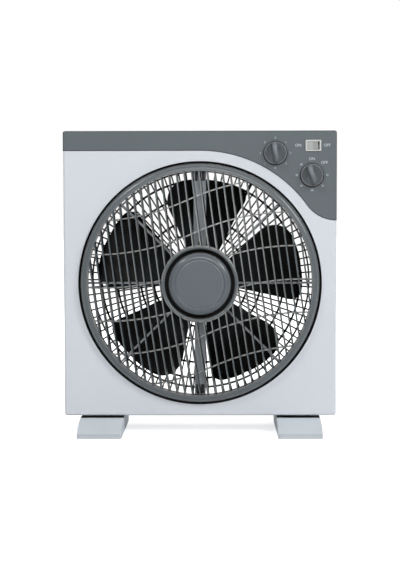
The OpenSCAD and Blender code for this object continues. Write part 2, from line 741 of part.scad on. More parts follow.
// Section of the cap: a skirt that stands on the bowl's floor, a broad round shoulder and a flat face
module cap_outline(inset) {
    foot = hub_floor_z + hub_t;
    translate([0, foot - inset]) {
        square([cap_r - inset, cap_front - foot - cap_edge]);
        square([cap_r - cap_edge - inset, cap_front - foot]);
    }
    translate([cap_r - cap_edge - inset, cap_front - cap_edge - inset]) circle(cap_edge, $fn = 64);
}
module hub_cap() color(trim_grey) on_axis() rotate_extrude() difference() {
    intersection() {
        cap_outline(0);
        square([2 * cap_r, 2 * cap_front]);
    }
    intersection() {
        cap_outline(2);
        square([2 * cap_r, 2 * cap_front]);
    }
    translate([cap_groove_r, cap_front + 0.7]) circle(1.8, $fn = 48);
}

// ---- controls ----
// Curved grip of a knob: two arcs that meet in the middle, with round ends
module grip_plan() {
    end_x = grip_bend - sqrt(pow(grip_bend, 2) - pow(grip_end, 2));
    for (turn = [0, 180]) rotate(turn) {
        intersection() {
            translate([grip_bend, 0]) difference() {
                circle(grip_bend + grip_w / 2);
                circle(grip_bend - grip_w / 2);
            }
            translate([-knob_r, 0]) square([2 * knob_r, grip_end]);
        }
        translate([end_x, grip_end]) circle(grip_w / 2, $fn = 48);
    }
}
// Dished disc with a round rim, and the grip across it
module knob(at, turn) stand() translate([at[0], at[1], 0]) difference() {
    union() {
        translate([0, 0, knob_base_z]) rotate_extrude() {
            square([knob_r, knob_base_t - knob_rim]);
            translate([knob_r - knob_rim, knob_base_t - knob_rim]) circle(knob_rim, $fn = 24);
        }
        intersection() {
            translate([0, 0, knob_base_z + 1]) rotate(turn)
                linear_extrude(knob_base_t + grip_h - 1) grip_plan();
            translate([0, 0, knob_base_z]) cylinder(r1 = knob_r, r2 = knob_r - 3, h = 30);
        }
    }
    rod(neck_r + 0.5, 0, knob_base_z + 1.5);
    rod(spindle_r + 0.01, 0, knob_base_z + knob_base_t + 5);
}
module spindle(at) stand() translate([at[0], at[1], 0])
    rod(spindle_r, front_z - 16, knob_base_z + knob_base_t + 4.8);
module speed_knob() color(trim_grey) knob(speed_at, 17);
module speed_spindle() color(steel) spindle(speed_at);
module timer_knob() color(trim_grey) knob(timer_at, 26);
module timer_spindle() color(steel) spindle(timer_at);
// Switch body behind the panel, with its neck and its row of tags
module switch_body(at, size, depth) stand() translate([at[0], at[1], 0]) difference() {
    union() {
        translate([0, 0, back_wall_z - depth]) linear_extrude(depth) round_rect(size, size, 3);
        rod(neck_r, back_wall_z - over, front_z + trim_step);
        for (x = [-1.5 : 1.5]) translate([x * 6 - 2.5, -0.4, back_wall_z - depth - 6]) cube([5, 0.8, 7]);
    }
    rod(spindle_r + run_fit, front_z - 16.2, front_z + 5);
}
module speed_switch() color([0.75, 0.73, 0.68]) switch_body(speed_at, 28, 16);
module timer_body() color([0.78, 0.79, 0.8]) switch_body(timer_at, 38, 30);
module grille_switch() color(cream) stand() translate([rocker_at[0], rocker_at[1], 0]) difference() {
    union() {
        translate([0, 0, front_z + trim_step]) linear_extrude(1.6) round_rect(bezel[0], bezel[1], 1.2);
        translate([0, 0, front_z - 22]) linear_extrude(22 + trim_step + over)
            square([bezel_hole[0] + 3, bezel_hole[1] + 3], center = true);
        for (x = [-1, 0, 1]) translate([x * 6 - 2.4, -0.4, front_z - 28]) cube([4.8, 0.8, 7]);
    }
    translate([0, 0, front_z - 11]) linear_extrude(20) square(bezel_hole, center = true);
    translate([0, 0, rocker_pivot_z]) rotate([90, 0, 0])
        cylinder(r = 1.25, h = bezel_hole[1] + 3, center = true);
}
module rocker_button() color(cream) stand() translate([rocker_at[0], rocker_at[1], rocker_pivot_z])
    rotate([0, -rocker_tip, 0]) union() {
        rotate([90, 0, 0]) linear_extrude(bezel_hole[1] - 0.6, center = true)
            polygon([[-7.5, 8.1], [0, 7], [7.5, 8.1], [7, 2], [3, -4], [-3, -4], [-7, 2]]);
        rotate([90, 0, 0]) cylinder(r = 1.2, h = bezel_hole[1] + 2.4, center = true);
    }
module capacitor() color([0.9, 0.9, 0.88]) stand() translate([44, body_top - 22.5, 0]) difference() {
    union() {
        translate([0, 0, back_wall_z - 18]) linear_extrude(18) round_rect(37, 24, 2);
        translate([22, 0, back_wall_z - 2]) linear_extrude(2) slot2d(20, 9);
    }
    translate([27, 0, 0]) rod(1.6, 0, front_z);
}

// ---- leads ----
module lead(route, r) {
    for (i = [0 : len(route) - 2]) hull() {
        translate(route[i]) sphere(r, $fn = 8);
        translate(route[i + 1]) sphere(r, $fn = 8);
    }
}
module grille_motor_lead() color(blade_black) on_axis() lead(grille_lead_route, grille_lead_r);
module motor_lead() color(blade_black) on_axis() lead(motor_lead_route, motor_lead_r);

front_housing();
control_panel();
rear_housing();
rear_grille();
front_spider();
foot_left();
foot_right();
foot_screws();
housing_screws();
rear_grille_screws();
spider_screws();
stator_core();
stator_windings();
motor_front_bell();
motor_rear_bell();
front_bush();
rear_bush();
motor_bolts();
capacitor();
speed_switch();
timer_body();
grille_switch();
grille_motor();
grille_motor_screws();
grille_motor_lead();
motor_lead();
cord_inlet();
fan_blade();
rotor();
motor_shaft();
spinner_nut();
drive_pin();
louvre_grille();
hub_cap();
grille_shaft();
louvre_nut();
speed_knob();
speed_spindle();
timer_knob();
timer_spindle();
rocker_button();
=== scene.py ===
"""Finishes, markings, screws and smooth blades for a square box fan, and a plain studio."""

import json
import math
from contextlib import contextmanager

import bmesh
import bpy
from bpy.props import FloatProperty, FloatVectorProperty, IntProperty, PointerProperty
from mathutils import Matrix, Vector


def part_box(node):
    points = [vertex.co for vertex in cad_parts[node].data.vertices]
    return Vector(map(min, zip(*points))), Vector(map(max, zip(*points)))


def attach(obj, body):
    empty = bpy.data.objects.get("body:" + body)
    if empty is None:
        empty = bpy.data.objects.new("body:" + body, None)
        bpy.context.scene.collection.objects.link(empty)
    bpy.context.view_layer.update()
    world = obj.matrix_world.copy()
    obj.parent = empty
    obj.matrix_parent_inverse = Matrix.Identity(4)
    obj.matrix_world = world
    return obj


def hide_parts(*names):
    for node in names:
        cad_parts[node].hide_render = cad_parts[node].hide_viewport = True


bl_info = {
    "name": "Box fan finishes",
    "version": (1, 0, 0),
    "blender": (4, 5, 0),
    "location": "3D View > Sidebar > Box fan",
    "description": "Gives a packed box fan its finishes, dial markings, screws, blades and studio",
    "category": "Object",
}

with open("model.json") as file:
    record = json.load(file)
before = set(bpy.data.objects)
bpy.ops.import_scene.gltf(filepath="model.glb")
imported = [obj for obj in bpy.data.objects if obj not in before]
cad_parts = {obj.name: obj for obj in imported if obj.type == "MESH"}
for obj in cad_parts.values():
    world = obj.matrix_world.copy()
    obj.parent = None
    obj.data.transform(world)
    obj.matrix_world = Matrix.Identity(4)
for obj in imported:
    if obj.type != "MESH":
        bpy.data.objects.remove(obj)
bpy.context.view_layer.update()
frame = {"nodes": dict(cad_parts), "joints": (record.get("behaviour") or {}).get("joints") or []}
nodes = frame["nodes"]

MM = 0.001

joint_at = {joint["name"]: Vector(joint["pos_m"]) for joint in frame["joints"]}
axis_at = joint_at["fan_spin"]
speed_at = joint_at["speed_dial_turn"]
timer_at = joint_at["timer_dial_turn"]
rocker_at = joint_at["rocker_tilt"]
panel_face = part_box("control_panel")[0].y

# Forms of the CAD parts that the scene follows; a pair has two radii about the fan's axis
OPENING_RADIUS = 173.8 * MM
TONGUE = 4 * MM  # from the rear shell's front edge back to the parting line
TRIM_ARC = 188.5 * MM  # the arc of the trim's lower edge about the fan's axis
TRIM_ARC_END = TRIM_ARC * math.sin(math.radians(54))
CORNER_ARC = 52.5 * MM  # the arc that follows it, and its centre
CORNER_AT = Vector((194.97 * MM, 0.0, 356.66 * MM))
DOME_RADIUS = 962 * MM  # the shallow dome of the louvre's front
BAR_FIELD = (53 * MM, 160.6 * MM)
BAR_PITCH = 10.8 * MM
BAR_LEAN = math.radians(8)
HUB_TRENCH = (40 * MM, 49.7 * MM)
ARM_POCKETS = (145.5 * MM, 159.5 * MM)
STEP_RING = (160.8 * MM, 163.8 * MM)
REAR_RINGS = (70.7 * MM, 90.2 * MM, 124.9 * MM, 148.7 * MM)
RING_DEPTH = 4.9 * MM  # from the rear grille's back to the middle of its rings
NECK_RADIUS = 5 * MM  # the recess in a dial's back for the switch's neck
NECK_RECESS = 1.5 * MM


# ---- settings ----
def colour_setting(name, text, rgb):
    """A colour as it is seen on a screen."""
    return FloatVectorProperty(
        name=name, description=text, subtype="COLOR_GAMMA", size=3, min=0.0, max=1.0, default=rgb)


def number_setting(name, text, value, low, high, scale=1.0, **kind):
    return FloatProperty(name=name, description=text, default=value * scale, min=low * scale,
                         max=high * scale, **kind)


def length_setting(*given):
    """A length, given in millimetres."""
    return number_setting(*given, scale=MM, unit="LENGTH")


def angle_setting(*given):
    """An angle, given in degrees."""
    return number_setting(*given, scale=math.pi / 180, subtype="ANGLE")


class FinishSettings(bpy.types.PropertyGroup):
    """Colours of the visible finishes, and of the painted highlights and light on them."""
    shell: colour_setting("Housing", "Pale moulding of the housing", (0.845, 0.863, 0.888))
    foot: colour_setting("Feet", "Pale moulding of the two feet", (0.872, 0.908, 0.937))
    trim: colour_setting("Trim", "Grey moulding at the top and the dials", (0.354, 0.387, 0.406))
    louvre: colour_setting("Louvre", "Grey moulding of the turning grille", (0.357, 0.382, 0.398))
    # painted highlight on the crests of the louvre's wavy ribs
    rib_highlight: colour_setting("Ribs", "Lit crests of the wavy ribs", (0.560, 0.560, 0.550))
    cap: colour_setting("Cap", "Grey moulding of the cap on the grille", (0.362, 0.390, 0.412))
    spider: colour_setting("Arms", "Grey moulding of the arms", (0.755, 0.785, 0.812))
    rear: colour_setting("Rear grille", "Black moulding", (0.040, 0.040, 0.038))
    step_ring: colour_setting("Step ring", "Outer ring of the rear grille", (0.38, 0.38, 0.38))
    blade: colour_setting("Blades", "Smoked black of the fan blades", (0.060, 0.064, 0.060))
    # painted light: the blades are paler near the hub
    blade_root_light: colour_setting("Blade roots", "Slate near the hub", (0.19, 0.21, 0.225))
    knob: colour_setting("Dials", "Grey moulding of the two dials", (0.330, 0.355, 0.373))
    # painted highlight on the top of a dial's grip
    crest_highlight: colour_setting("Grip crest", "Top of a dial's grip", (0.475, 0.500, 0.525))
    bezel: colour_setting("Switch frame", "Pale moulding round the rocker", (0.765, 0.770, 0.760))
    rocker: colour_setting("Rocker", "Pale moulding of the rocker", (0.635, 0.645, 0.635))
    marking: colour_setting("Markings", "Printed numerals and words", (0.73, 0.76, 0.79))
    # the wear setting also sets the painted highlight on the dials' rims
    wear: number_setting("Wear", "Rubbed brightness of the edges", 0.5, 0, 1)
    dust: number_setting("Dust", "Dust on faces that look up", 0.25, 0, 1)


class MarkingSettings(bpy.types.PropertyGroup):
    """Sizes of the printed numerals and words."""
    numeral_height: length_setting("Numeral size", "Type size of the numerals", 3.9, 2, 6)
    word_height: length_setting("Word size", "Type size of the words", 5.6, 3, 8)
    ring_radius: length_setting("Ring radius", "From a dial's centre to its numerals", 21.4, 18, 26)
    ink: length_setting("Ink", "Height of the print above the trim", 0.08, 0.02, 0.3)


class BladeSettings(bpy.types.PropertyGroup):
    """Sizes of the fan blades."""
    count: IntProperty(name="Blades", description="Number of blades", default=5, min=3, max=6)
    span: angle_setting("Span", "Angle that one blade covers, seen from the front", 54, 40, 57)
    park: angle_setting("Parked angle", "First blade's angle when the fan stands", 15.3, 0, 69)
    tip_radius: length_setting("Tip radius", "Outer radius of the blades", 148, 140, 151)
    lead_corner: length_setting("Leading corner", "Radius of the leading corner", 17, 5, 40)
    trail_corner: length_setting("Trailing corner", "Radius of the trailing corner", 38, 5, 60)
    hub_radius: length_setting("Hub radius", "Outer radius of the hub", 37, 30, 42)
    thickness: length_setting("Thickness", "Thickness of a blade", 2, 1, 3)


class DialSettings(bpy.types.PropertyGroup):
    """Sizes of the two dials."""
    radius: length_setting("Radius", "Outer radius of a dial", 16, 14, 16.4)
    rim: length_setting("Rim", "Width of the round rim", 2.2, 1.2, 3.5)
    grip_width: length_setting("Grip width", "Width of the curved grip", 8, 5, 9)
    grip_height: length_setting("Grip height", "Height of the grip over the disc", 11.5, 8, 11.6)
    bend: length_setting("Bend", "Radius of the two arcs of the grip", 34, 20, 80)
    speed_turn: angle_setting("Speed turn", "Turn of the grip from upright", 17, -180, 180)
    timer_turn: angle_setting("Timer turn", "Turn of the grip from upright", 26, -180, 180)


class StudioSettings(bpy.types.PropertyGroup):
    """Lamps, room light and camera."""
    key_power: number_setting("Right lamp", "Watts of the lamp at the upper right", 24.0, 0, 200)
    side_power: number_setting("Left lamp", "Watts of the lamp at the upper left", 15.5, 0, 200)
    front_power: number_setting("Front lamp", "Watts of the lamp over the camera", 19.5, 0, 200)
    back_power: number_setting("Back lamp", "Watts of the lamp behind the fan", 32.0, 0, 200)
    fill: number_setting("Room light", "Strength of the even light all round", 0.18, 0, 2)
    focal: number_setting("Focal length", "Focal length in millimetres", 86.16, 20, 200)


# ---- mesh helpers ----
def clear_selection():
    if bpy.context.object and bpy.context.object.mode != "OBJECT":
        bpy.ops.object.mode_set(mode="OBJECT")
    bpy.ops.object.select_all(action="DESELECT")


def make_active(piece):
    clear_selection()
    piece.select_set(True)
    bpy.context.view_layer.objects.active = piece


def named(name):
    """Names the active object and its mesh."""
    piece = bpy.context.object
    piece.name = name
    piece.data.name = name
    return piece


def primitive(kind, name, **sizes):
    """Adds one of Blender's mesh primitives as the active object."""
    clear_selection()
    getattr(bpy.ops.mesh, "primitive_" + kind + "_add")(**sizes)
    return named(name)


def bake_place(piece):
    """Moves the object's place and scale into its mesh."""
    make_active(piece)
    bpy.ops.object.transform_apply(location=True, rotation=True, scale=True)
    return piece


def block(name, size, location=(0, 0, 0)):
    piece = primitive("cube", name, size=1, location=location)
    piece.dimensions = size
    return bake_place(piece)


def apply_modifiers(piece):
    make_active(piece)
    for modifier in list(piece.modifiers):
        bpy.ops.object.modifier_apply(modifier=modifier.name)


@contextmanager
def edit_mode():
    """Edit mode on the active object, and object mode again afterwards."""
    bpy.ops.object.mode_set(mode="EDIT")
    yield
    bpy.ops.object.mode_set(mode="OBJECT")


def select_where(piece, faces=None, edges=None):
    """In edit mode, selects only the faces or only the edges that pass the test."""
    bpy.ops.mesh.select_all(action="DESELECT")
    mesh = bmesh.from_edit_mesh(piece.data)
    bpy.context.tool_settings.mesh_select_mode = (False, bool(edges), bool(faces))
    test = faces or edges
    for item in mesh.faces if faces else mesh.edges:
        if test(item):
            item.select_set(True)
    mesh.select_flush_mode()
    bmesh.update_edit_mesh(piece.data)


def round_top(piece, height, radius, segments):
    """In edit mode, rounds the edges at the top."""
    select_where(piece, edges=lambda edge: min(v.co.z for v in edge.verts) > height - 1e-6)
    bpy.ops.mesh.bevel(offset=radius, segments=segments, affect="EDGES")


def inset_faces(piece, side, thickness):
    """In edit mode, insets the faces that look up (side 1) or down (side -1)."""
    select_where(piece, faces=lambda face: face.normal.z * side > 0.9)
    bpy.ops.mesh.inset(thickness=thickness)


def extrude(rise):
    """Extrudes the selected faces along z."""
    bpy.ops.mesh.extrude_region_move(TRANSFORM_OT_translate={"value": (0, 0, rise)})


def tidy_faces(piece):
    """Merges doubles, then turns every face outwards."""
    make_active(piece)
    with edit_mode():
        bpy.ops.mesh.select_all(action="SELECT")
        bpy.ops.mesh.remove_doubles(threshold=1e-6)
        bpy.ops.mesh.normals_make_consistent(inside=False)
    return piece


def move_mesh(piece, matrix):
    piece.data.transform(matrix)
    piece.data.update()
    return piece


def copy_of(piece, matrix, name):
    """A copy with its own mesh, placed by the matrix."""
    twin = piece.copy()
    twin.data = piece.data.copy()
    twin.name = name
    bpy.context.scene.collection.objects.link(twin)
    return move_mesh(twin, matrix)


def join(pieces, name):
    clear_selection()
    for piece in pieces:
        piece.select_set(True)
    bpy.context.view_layer.objects.active = pieces[0]
    bpy.ops.object.join()
    return named(name)


def remove(*pieces):
    for piece in pieces:
        bpy.data.objects.remove(piece, do_unlink=True)


def quarter_turn(axis, sign=1):
    return Matrix.Rotation(sign * math.pi / 2, 4, axis)


def at(centre, y, turn=0.0):
    """Puts a piece drawn in the user's view (x right, y up, z towards the user) in line with a
    centre at y, turned anticlockwise."""
    place = Vector((centre.x, y, centre.z))
    return Matrix.Translation(place) @ quarter_turn("X") @ Matrix.Rotation(turn, 4, "Z")


# ---- shader helpers ----
def linear(rgb):
    """A screen colour as the shaders take it."""
    levels = [c / 12.92 if c <= 0.04045 else ((c + 0.055) / 1.055) ** 2.4 for c in rgb]
    return (*levels, 1.0)


def grey(level):
    return (level, level, level, 1.0)


class Value:
    """An output of a node. Sums, differences and products of values add maths nodes."""

    def __init__(self, node, output=0):
        self.tree = node.id_data
        self.socket = node.outputs[output]

    def __add__(self, other):
        return maths("ADD", self, other)

    def __sub__(self, other):
        return maths("SUBTRACT", self, other)

    def __rsub__(self, other):
        return maths("SUBTRACT", other, self)

    def __mul__(self, other):
        return maths("MULTIPLY", self, other)

    def __abs__(self):
        return maths("ABSOLUTE", self)


def feed(node, inputs):
    """Links values to a node's inputs, or sets them, by name or number."""
    for title, value in dict(inputs).items():
        if isinstance(value, Value):
            value.tree.links.new(value.socket, node.inputs[title])
        elif value is not None:
            node.inputs[title].default_value = value


def add_node(tree, kind, inputs=(), **options):
    node = tree.nodes.new(kind)
    for option, value in options.items():
        setattr(node, option, value)
    feed(node, inputs)
    return node


def maths(operation, a, b=None, **options):
    tree = a.tree if isinstance(a, Value) else b.tree
    return Value(add_node(tree, "ShaderNodeMath", {0: a, 1: b}, operation=operation, **options))


def smaller(a, b):
    return maths("MINIMUM", a, b)


def larger(a, b):
    return maths("MAXIMUM", a, b)


def vector_maths(operation, a, b=None):
    node = add_node(a.tree, "ShaderNodeVectorMath", {0: a, 1: b}, operation=operation)
    number = operation in ("LENGTH", "DOT_PRODUCT", "DISTANCE")
    return Value(node, "Value" if number else "Vector")


def ramp(value, low, high, out_low=0.0, out_high=1.0, kind="SMOOTHSTEP"):
    """Maps low...high to out_low...out_high and holds the ends."""
    inputs = enumerate((value, low, high, out_low, out_high))
    return Value(add_node(value.tree, "ShaderNodeMapRange", inputs, interpolation_type=kind))


def mix(factor, a, b, blend="MIX"):
    tree = next(value.tree for value in (factor, a, b) if isinstance(value, Value))
    return Value(add_node(tree, "ShaderNodeMix", {0: factor, 6: a, 7: b}, data_type="RGBA",
                          blend_type=blend), 2)


def mix_value(factor, a, b):
    return a + factor * (b - a)


def noise(vector, scale, detail=2.0, roughness=0.5):
    return Value(add_node(vector.tree, "ShaderNodeTexNoise", {
        "Vector": vector, "Scale": scale, "Detail": detail, "Roughness": roughness}))


def split(vector):
    """The x, y and z of a vector."""
    node = add_node(vector.tree, "ShaderNodeSeparateXYZ", {0: vector})
    return [Value(node, axis) for axis in range(3)]


def facing(place):
    """The direction that the surface faces."""
    return Value(add_node(place.tree, "ShaderNodeNewGeometry"), "Normal")


def radius_about(place, centre):
    """Distance from the line through the centre along the fan's direction."""
    offset = vector_maths("SUBTRACT", place, centre)
    return vector_maths("LENGTH", vector_maths("MULTIPLY", offset, (1, 0, 1)))


def ring_mask(place, inner, outer, soft=0.3 * MM):
    """1 between two radii about the fan's axis."""
    radius = radius_about(place, axis_at)
    return (ramp(radius, inner - soft, inner + soft)
            * ramp(radius, outer - soft, outer + soft, 1.0, 0.0))


def behind(place, station, soft=1.5 * MM):
    """0 in front of a station along the fan's direction, 1 behind it."""
    return ramp(split(place)[1], station, station + soft)


# ---- shared node groups ----
def moulded_grain(place, grain, variation):
    """Fine moulded grain with a slow change of tone and gloss."""
    return {"Tone": ramp(noise(place, 9.0, 4.0), 0.32, 0.68, 1.0 - variation, variation + 1.0),
            "Gloss": ramp(noise(place, 60.0, 3.0), 0.3, 0.7, -0.015, 0.015),
            "Height": noise(place, grain, 2.0, 0.6)}


def corner_wear(place, center, half, width):
    """Mask along the twelve edges of a box."""
    reach = vector_maths("ABSOLUTE", vector_maths("SUBTRACT", place, center))
    x, y, z = split(vector_maths("SUBTRACT", half, reach))
    nearest = smaller(smaller(larger(x, y), larger(y, z)), larger(x, z))
    ragged = nearest + noise(place, 130.0, 5.0, 0.65) * width * 1.6
    return {"Mask": ramp(ragged, width * 0.7, width * 1.5, 1.0, 0.0)}


def rim_wear_and_highlight(place, center, radius, width):
    """Mask round one radius about the fan's direction."""
    off = abs(radius_about(place, center) - radius)
    ragged = off + width * noise(place, 160.0, 5.0, 0.65)
    return {"Mask": ramp(ragged, width * 0.4, width * 1.3, 1.0, 0.0)}


def settled_dust(place, normal, amount):
    """Mask of thin dust on faces that look up."""
    up = ramp(split(normal)[2], 0.35, 0.95)
    cloud = ramp(noise(place, 30.0, 6.0, 0.55), 0.3, 0.7, 0.55, 1.0)
    return {"Mask": maths("MULTIPLY", up * cloud, amount, use_clamp=True)}


# Each shared group: what its outputs are made by, and its inputs after "Vector"
GROUPS = {
    "moulded_grain": (moulded_grain, {"Grain": 1500.0, "Variation": 0.03}),
    "corner_wear": (corner_wear, {"Center": (0, 0, 0), "Half": (1, 1, 1), "Width": 0.002}),
    "rim_wear_and_highlight": (rim_wear_and_highlight, {"Center": (0, 0, 0), "Radius": 0.1, "Width": 0.002}),
    "settled_dust": (settled_dust, {"Normal": (0, 0, 1), "Amount": 0.2}),
}


def build_group(name):
    """A node group whose outputs are all plain numbers."""
    outputs_of, defaults = GROUPS[name]
    tree = bpy.data.node_groups.new(name, "ShaderNodeTree")
    inputs = {"Vector": (0, 0, 0), **defaults}
    for title, default in inputs.items():
        kind = "NodeSocketVector" if isinstance(default, tuple) else "NodeSocketFloat"
        socket = tree.interface.new_socket(name=title, in_out="INPUT", socket_type=kind)
        socket.default_value = default
    given = tree.nodes.new("NodeGroupInput")
    outputs = outputs_of(*(Value(given, title) for title in inputs))
    for title in outputs:
        tree.interface.new_socket(name=title, in_out="OUTPUT", socket_type="NodeSocketFloat")
    add_node(tree, "NodeGroupOutput", outputs)
    return tree


def use_group(name, place, **inputs):
    """Places a shared group, which is built when it is first used."""
    group = bpy.data.node_groups.get(name) or build_group(name)
    return add_node(place.tree, "ShaderNodeGroup", {"Vector": place, **inputs}, node_tree=group)


# ---- finishes ----
EDGE_WEAR = 0.8  # share of the wear setting that an edge shows
CORNER_WIDTH = 1.6 * MM  # widths of the rubbed edges
RIM_WIDTH = 1.1 * MM
DUST_COLOUR = (0.62, 0.60, 0.56)
DUST_GAIN = 2  # dust of a finish at a dust setting of 1, as a share of its own


def new_material(name):
    """A material, its shader node and the place on the object."""
    material = bpy.data.materials.new(name)
    material.use_nodes = True
    tree = material.node_tree
    place = Value(add_node(tree, "ShaderNodeTexCoord"), "Object")
    return material, tree.nodes["Principled BSDF"], place


def finish(name, rgb, rough=0.45, metal=0.0, grain=1500.0, depth=0.02, variation=0.03, wear=None,
           rims=(), shades=(), dust=0.0, wear_lift=0.28, gleam=0.5):
    """A moulded or metal finish.

    wear is a box (low, high) whose edges show wear. rims are pale radii as (centre, radius), from
    wear and on the dials also as a painted highlight round the rim; wear_lift says how much
    paler they are. depth is the grain's, in millimetres, and gleam the level of reflections. Each
    of the shades is a function of the place that gives layers: mask, colour and change of
    roughness.
    """
    settings = bpy.context.scene.fan_finish
    material, shader, place = new_material(name)
    surface = use_group("moulded_grain", place, Grain=grain, Variation=variation)
    base = linear(rgb)
    colour = mix(1.0, base, Value(surface, "Tone"), "MULTIPLY")
    gloss = Value(surface, "Gloss") + rough

    worn_and_lit = [use_group("rim_wear_and_highlight", place, Center=centre, Radius=radius, Width=RIM_WIDTH)
            for centre, radius in rims]
    if wear:
        low, high = wear
        worn_and_lit.insert(0, use_group("corner_wear", place, Center=(low + high) / 2,
                                 Half=(high - low) / 2, Width=CORNER_WIDTH))
    rubbed_and_lit = [min(1.0, c + wear_lift * (1.0 - c)) for c in base]
    layers = [(Value(edge, "Mask") * (settings.wear * EDGE_WEAR), rubbed_and_lit, -0.12) for edge in worn_and_lit]
    for shade in shades:
        layers += shade(place)
    if dust:
        veil = use_group("settled_dust", place, Normal=facing(place),
                         Amount=dust * settings.dust * DUST_GAIN)
        layers.append((Value(veil, "Mask"), linear(DUST_COLOUR), 0.4))
    for mask, over, change in layers:
        colour = mix(mask, colour, over)
        if change:
            gloss = gloss + mask * change

    bump = add_node(place.tree, "ShaderNodeBump", {
        "Strength": 0.35, "Distance": depth * MM, "Height": Value(surface, "Height")})
    feed(shader, {"Base Color": colour, "Roughness": smaller(larger(gloss, 0.08), 0.95),
                  "Metallic": metal, "Specular IOR Level": gleam, "Normal": Value(bump, "Normal")})
    return material


def paint(piece, material):
    if not piece.material_slots:
        piece.data.materials.append(material)
    for slot in piece.material_slots:
        slot.material = material


def dress(names, *look, **more):
    """Makes one finish and gives it to the named CAD parts."""
    material = finish(*look, **more)
    for name in names:
        paint(nodes[name], material)


def dress_like(piece, node, angle):
    """Gives a piece the finish of a CAD part, and smooth shading up to an angle in degrees."""
    paint(piece, nodes[node].material_slots[0].material)
    make_active(piece)
    bpy.ops.object.shade_smooth_by_angle(angle=math.radians(angle))


def painted_gap_shade(inner, outer, station):
    """Painted shade between two radii and behind a station, where little light gets in."""
    return lambda place: [
        (ring_mask(place, inner, outer) * behind(place, station), grey(0.006), 0.4)]


def tinted_ring(rgb, *radii):
    """Another colour between two radii about the fan's axis."""
    return lambda place: [(ring_mask(place, *radii), linear(rgb), 0.0)]


def bar_shades(rgb, front):
    """Painted shade on the deep flanks of the louvre's bars, and a painted highlight on the wavy
    ribs between them.
    """
    dome_at = Vector((axis_at.x, front + DOME_RADIUS, axis_at.z))
    across_bars = (math.cos(BAR_LEAN), 0, math.sin(BAR_LEAN))

    def layers(place):
        offset = vector_maths("SUBTRACT", place, axis_at)
        across = vector_maths("DOT_PRODUCT", offset, across_bars)
        from_bar = maths("PINGPONG", across, BAR_PITCH / 2)
        field = ring_mask(place, *BAR_FIELD)
        depth = DOME_RADIUS - vector_maths("DISTANCE", place, dome_at)
        shade = ramp(depth, 1.6 * MM, 6 * MM, 0.0, 0.75) * field
        crest_highlight = ramp(depth, 2.2 * MM, 3.6 * MM, 1.0, 0.0)
        lit_rib = ramp(from_bar, 1.5 * MM, 2.1 * MM) * crest_highlight * field
        return [(shade, grey(0.01), 0.0), (lit_rib, linear(rgb), 0.0)]
    return layers


def pocket_shade(front):
    """Painted shade in the two blind pockets at the outer end of each upright arm."""
    def layers(place):
        middle = ramp(abs(split(place)[0]), 7.5 * MM, 8 * MM, 1.0, 0.0)
        deep = behind(place, front + 0.4 * MM, 0.8 * MM)
        pocket = deep * middle * ring_mask(place, *ARM_POCKETS)
        return [(pocket, (0.012, 0.010, 0.007, 1.0), 0.0)]
    return layers


def foot_shades(front):
    """Shade on the lip at the front of a foot, and on its top where the body is over it."""
    def layers(place):
        lip = 1.0 - behind(place, front + 0.6 * MM, 0.8 * MM)
        top = ramp(split(facing(place))[2], 0.3, 0.5)
        fade = ramp(split(place)[1], panel_face + 40 * MM, panel_face + 80 * MM, 1.0, 0.0)
        under = fade * behind(place, panel_face + MM, MM) * top
        return [(lip * 0.3, grey(0.10), 0.0), (under, grey(0.004), 0.4)]
    return layers


def trim_shades(place):
    """Shade in the gap round each dial and along the lower edge of the trim."""
    x, _, z = split(place)
    layers = []
    for centre in (speed_at, timer_at):
        low = ramp(z - centre.z, -6 * MM, 8 * MM, 1.0, 0.35)
        well = ramp(radius_about(place, centre), 17.2 * MM, 17.9 * MM, 1.0, 0.0)
        layers.append((well * low, grey(0.006), 0.0))
    # The edge is a straight line, then an arc round the opening, then the corner's arc
    arc_starts = ramp(x, -0.5 * MM, 0.5 * MM)
    corner_starts = ramp(x, TRIM_ARC_END - 0.5 * MM, TRIM_ARC_END + 0.5 * MM)
    line = z - (axis_at.z + TRIM_ARC)
    arc = radius_about(place, axis_at) - TRIM_ARC
    above = larger(z - CORNER_AT.z, 0.0)
    corner = CORNER_ARC - radius_about(place, CORNER_AT) + above * 10.0
    off = mix_value(corner_starts, mix_value(arc_starts, line, arc), corner)
    edge = ramp(off, 0.9 * MM, 1.5 * MM, 0.9, 0.0)
    return layers + [(edge, (0.008, 0.008, 0.009, 1.0), 0.0)]


def painted_crest_highlight(rgb, front, centre):
    """A painted highlight on the crest of a dial's grip, brighter towards its upper end."""
    def layers(place):
        _, y, z = split(place)
        high = ramp(y, front + 6 * MM, front + 11 * MM, 1.0, 0.0)
        end = ramp(z - centre.z, -12 * MM, 10 * MM, 0.15, 0.9, kind="LINEAR")
        return [(high * end, linear(rgb), -0.04)]
    return layers


def parting_line(station):
    """A dark hairline where the two shells meet."""
    def layers(place):
        off = abs(split(place)[1] - station)
        return [(ramp(off, 0.15 * MM, 0.45 * MM, 0.75, 0.0), linear((0.25, 0.26, 0.27)), 0.0)]
    return layers


def bands(direction, scale, dark):
    """Dark parallel lines, as of wire or stacked sheet."""
    def layers(place):
        wave = add_node(place.tree, "ShaderNodeTexWave", {
            "Vector": place, "Scale": scale, "Distortion": 0.6},
            bands_direction=direction)
        return [(ramp(Value(wave, "Fac"), 0.2, 0.8, dark, 0.0), grey(0.02), 1.0)]
    return layers


